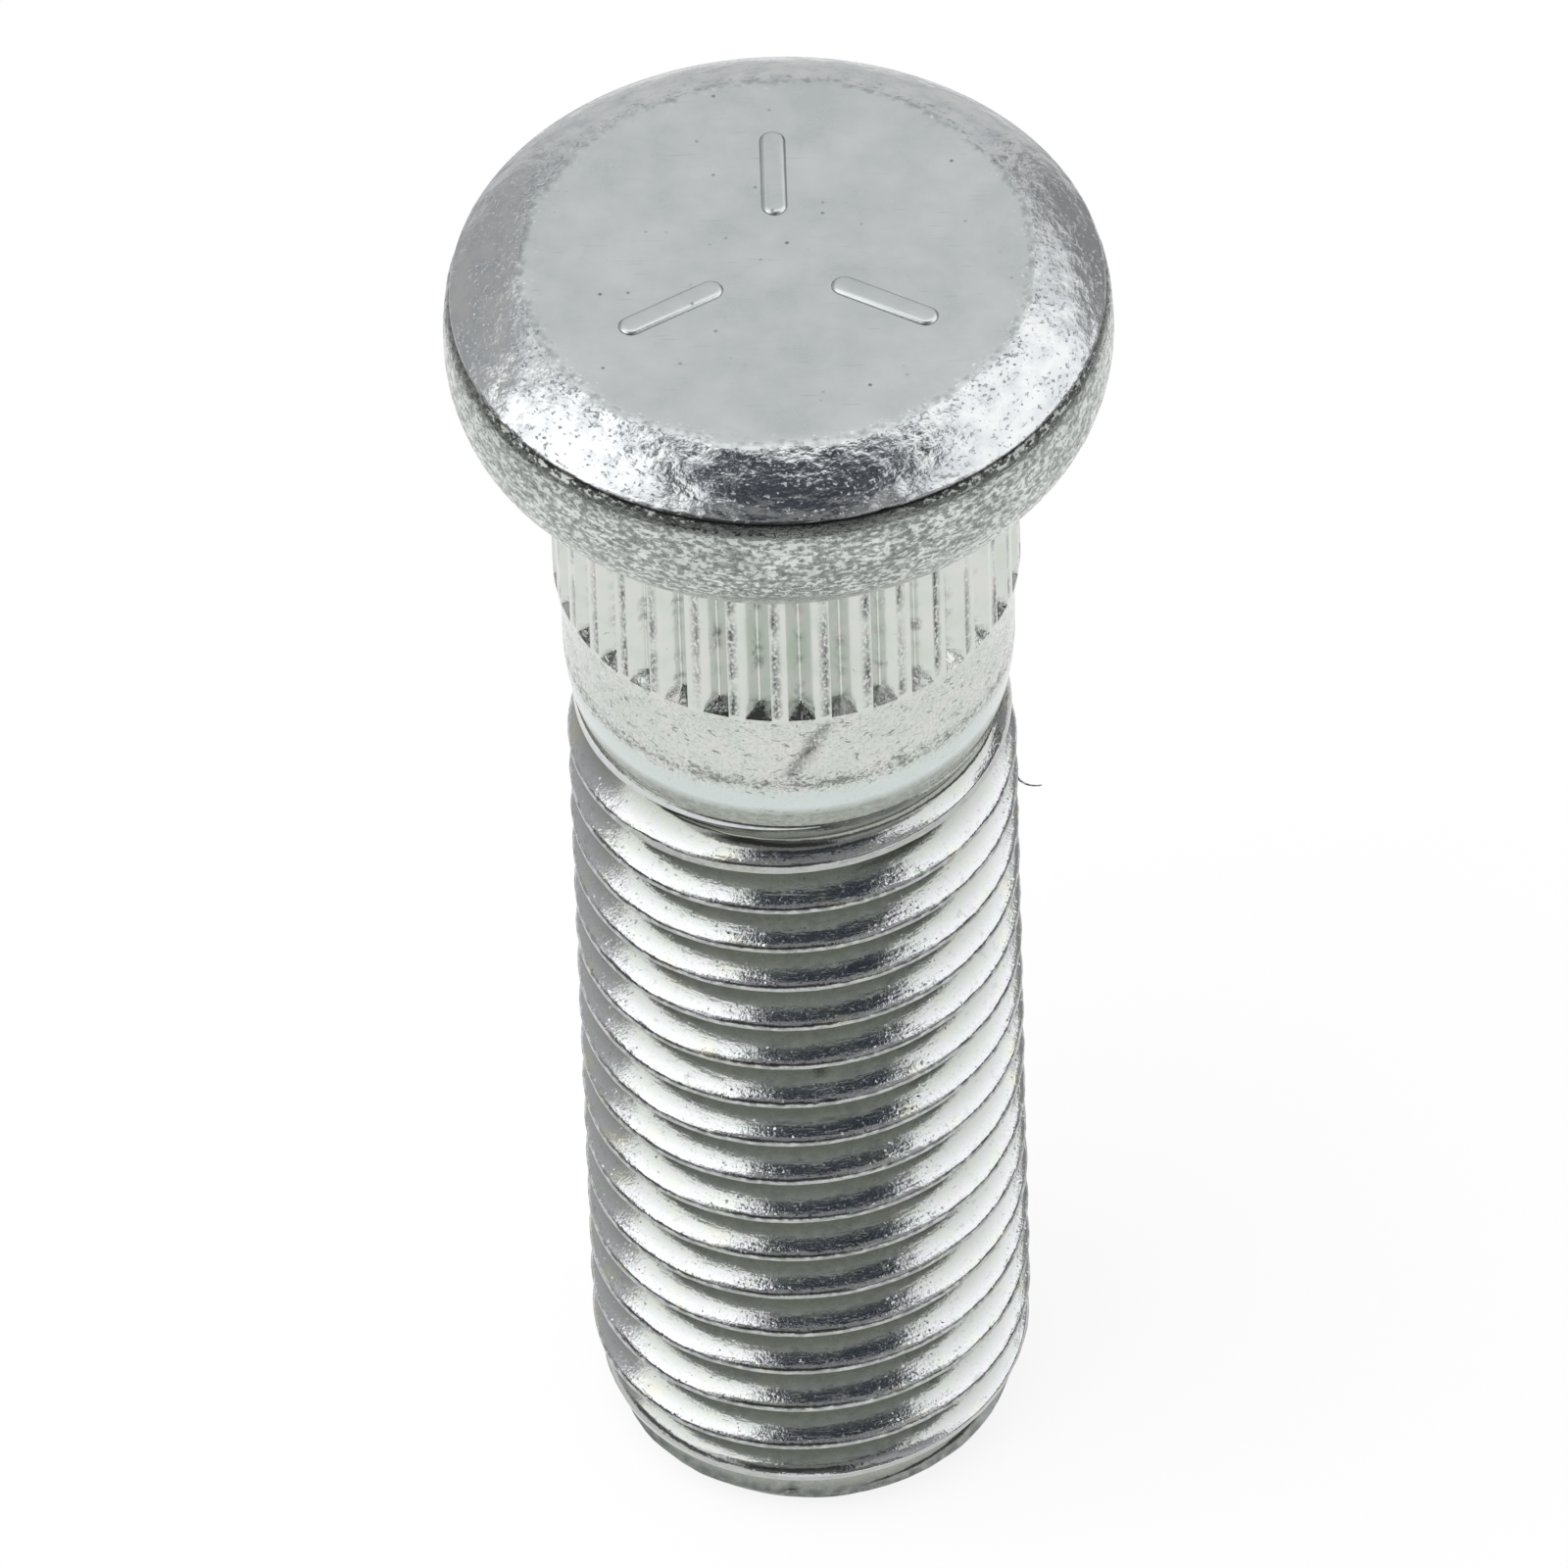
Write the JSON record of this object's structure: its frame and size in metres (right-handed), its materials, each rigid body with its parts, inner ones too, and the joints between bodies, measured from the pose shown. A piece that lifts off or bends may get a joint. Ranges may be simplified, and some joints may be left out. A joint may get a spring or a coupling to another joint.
{
  "type": "wheel stud",
  "caption": "Press-in wheel stud of zinc-plated steel: bevelled round head, straight-knurled collar that bites into a hub flange, plain neck and a fine right-hand thread for the wheel nut.",
  "frame": {"origin": "centre of the flat thread end, on which the stud stands", "axes": "+Z along the stud's axis from the thread end to the head"},
  "size_m": [0.0175, 0.0174, 0.0425],
  "materials": {
    "zinc_plate": "satin"
  },
  "bodies": {
    "root": {"wheel_stud": "zinc_plate"}
  },
  "joints": []
}
